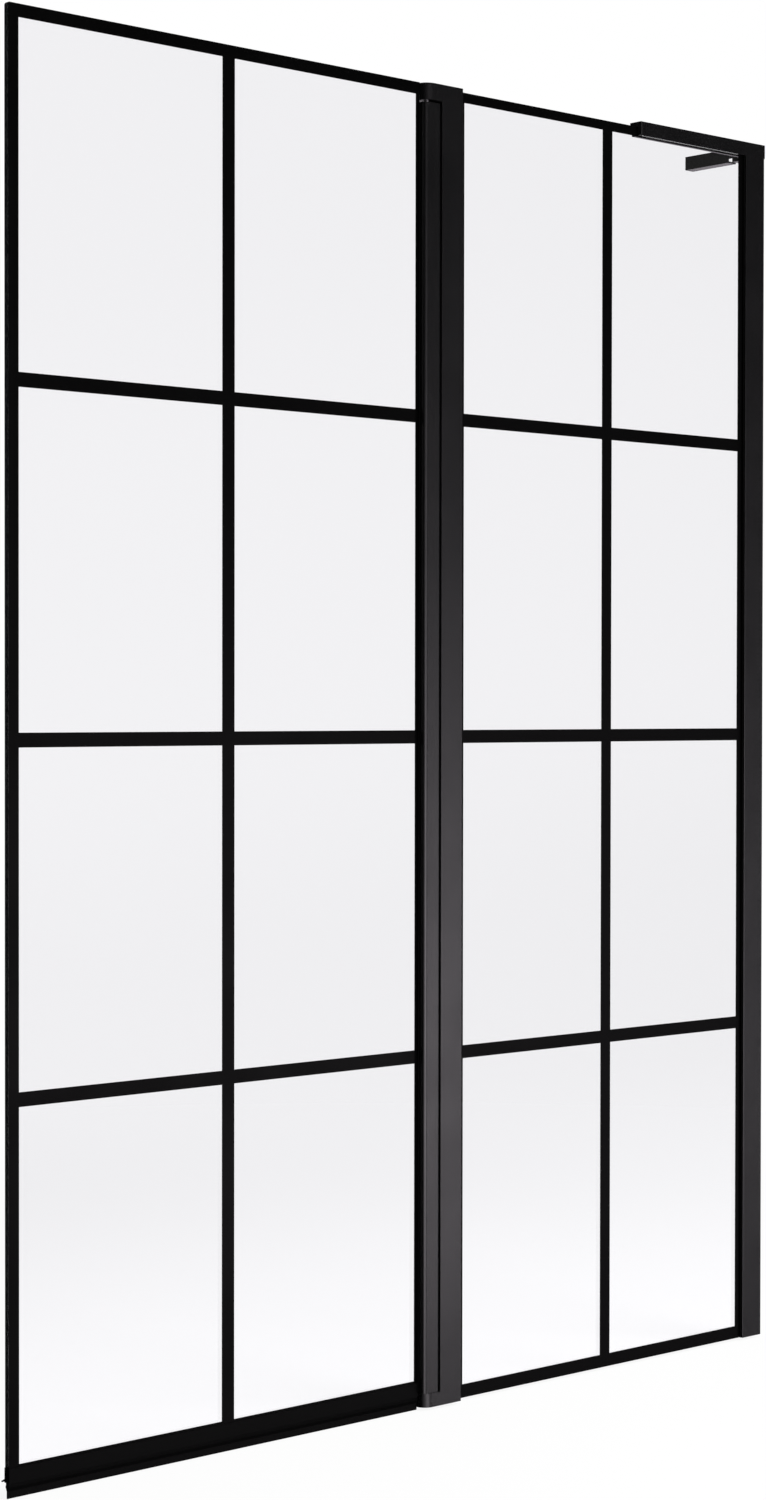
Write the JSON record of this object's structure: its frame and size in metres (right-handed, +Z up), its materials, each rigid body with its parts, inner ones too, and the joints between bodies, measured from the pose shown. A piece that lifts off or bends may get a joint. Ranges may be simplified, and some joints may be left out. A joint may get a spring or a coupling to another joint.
{
  "type": "two-panel bath screen",
  "caption": "Bath screen with a fixed glass panel on a wall channel, a hinge post, a swinging glass door with a bottom seal, and a brace rail that turns along the wall; both panes carry a printed square grid.",
  "frame": {"origin": "where the wall plane, the middle plane of the glass and the level of the bath rim meet, at the foot of the wall profile's back face", "axes": "+X into the wall, so the screen runs towards -X; +Y towards the bath side; +Z up"},
  "size_m": [1.1512, 0.127, 1.503],
  "materials": {
    "powder_coat": "satin black powder coat on aluminium",
    "safety_glass": "clear polished",
    "printed_enamel": "black ceramic print fired on the glass",
    "seal_rubber": "matte black rubber",
    "black_nylon": "matte black moulded nylon",
    "steel": "plain stainless steel"
  },
  "bodies": {
    "fixed_side": {"wall_profile": "powder_coat", "wall_gasket_front": "seal_rubber", "wall_gasket_back": "seal_rubber", "glass_packers": "black_nylon", "fixed_glass": "safety_glass", "fixed_grid": "printed_enamel", "hinge_post": "powder_coat", "post_gasket_front": "seal_rubber", "post_gasket_back": "seal_rubber", "top_cap": "powder_coat", "bottom_cap": "powder_coat", "cap_screws": "steel", "top_pivot_pin": "steel", "bottom_pivot_pin": "steel", "brace_rail": "powder_coat", "brace_rail_liner": "seal_rubber", "brace_rail_end_cap": "black_nylon", "brace_clamp_plate": "steel", "brace_clamp_screws": "steel", "brace_spacer": "powder_coat", "brace_joint_screw": "steel", "brace_anchor": "steel", "brace_leg": "powder_coat", "brace_leg_end_cap": "black_nylon", "brace_leg_screw": "steel"},
    "door": {"door_profile": "powder_coat", "top_bush": "black_nylon", "bottom_bush": "black_nylon", "door_gasket_front": "seal_rubber", "door_gasket_back": "seal_rubber", "door_glass": "safety_glass", "door_grid": "printed_enamel", "door_bottom_seal": "seal_rubber"}
  },
  "joints": [
    {"name": "door_swing", "type": "hinge", "parent": "fixed_side", "child": "door", "pos_m": [-0.5757, 0, 0.0158], "axis": [0, 0, 1], "range_deg": [-90, 90]}
  ]
}
